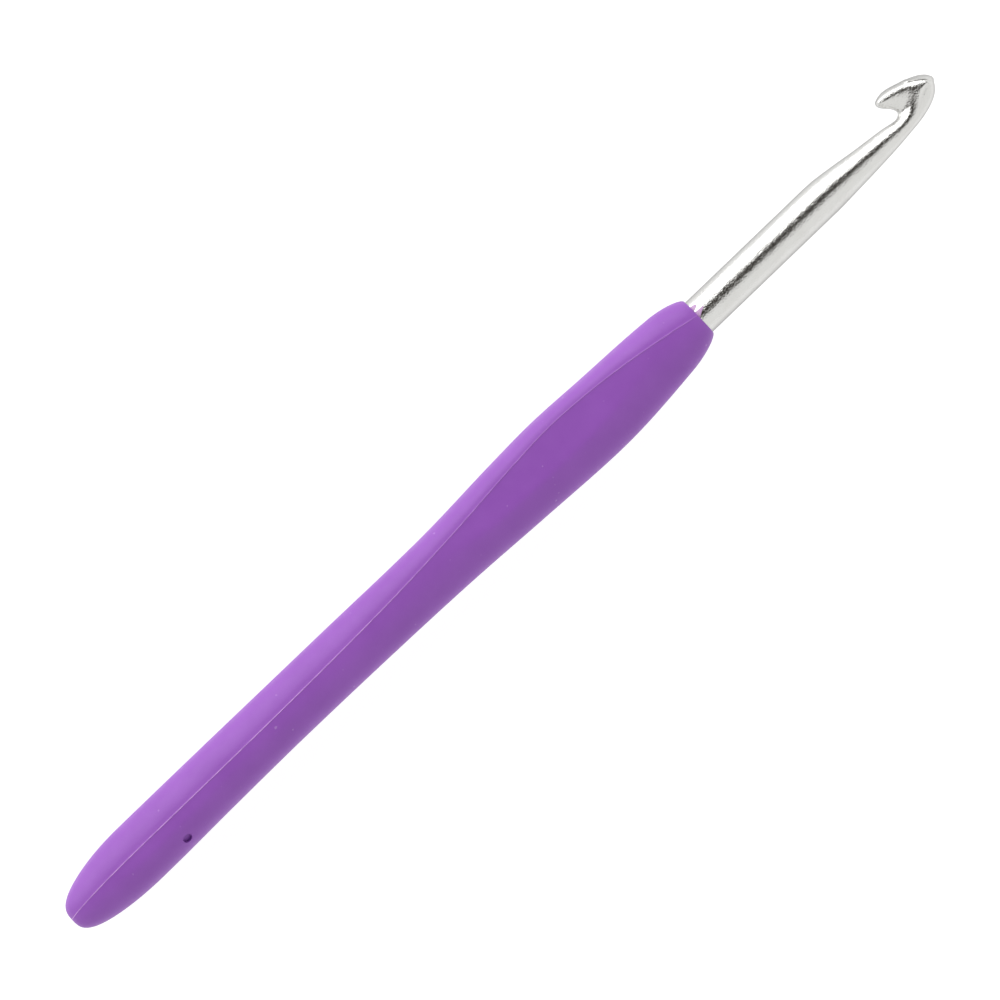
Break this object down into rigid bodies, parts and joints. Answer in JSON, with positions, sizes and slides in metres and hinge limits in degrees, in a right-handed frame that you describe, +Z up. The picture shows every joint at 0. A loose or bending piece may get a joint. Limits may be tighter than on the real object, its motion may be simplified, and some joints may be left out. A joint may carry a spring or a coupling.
{
  "type": "crochet hook",
  "caption": "Crochet hook: a round aluminium shaft with a tapered neck and a pointed, lipped head, in a soft contoured handle with a thumb rest and flattened sides.",
  "frame": {"origin": "the middle of the base's bounding box, on the surface that the hook lies on", "axes": "+X along the shaft towards the tip, +Y towards the side of the lip and the thumb rest, +Z up out of the handle's upper flat side"},
  "size_m": [0.1496, 0.0102, 0.0088],
  "materials": {
    "hook_metal": "satin polish",
    "core_plastic": "moulded, unpainted",
    "grip_skin": "matte silicone"
  },
  "bodies": {
    "root": {"hook": "hook_metal", "handle_core": "core_plastic", "soft_grip": "grip_skin"}
  },
  "joints": []
}
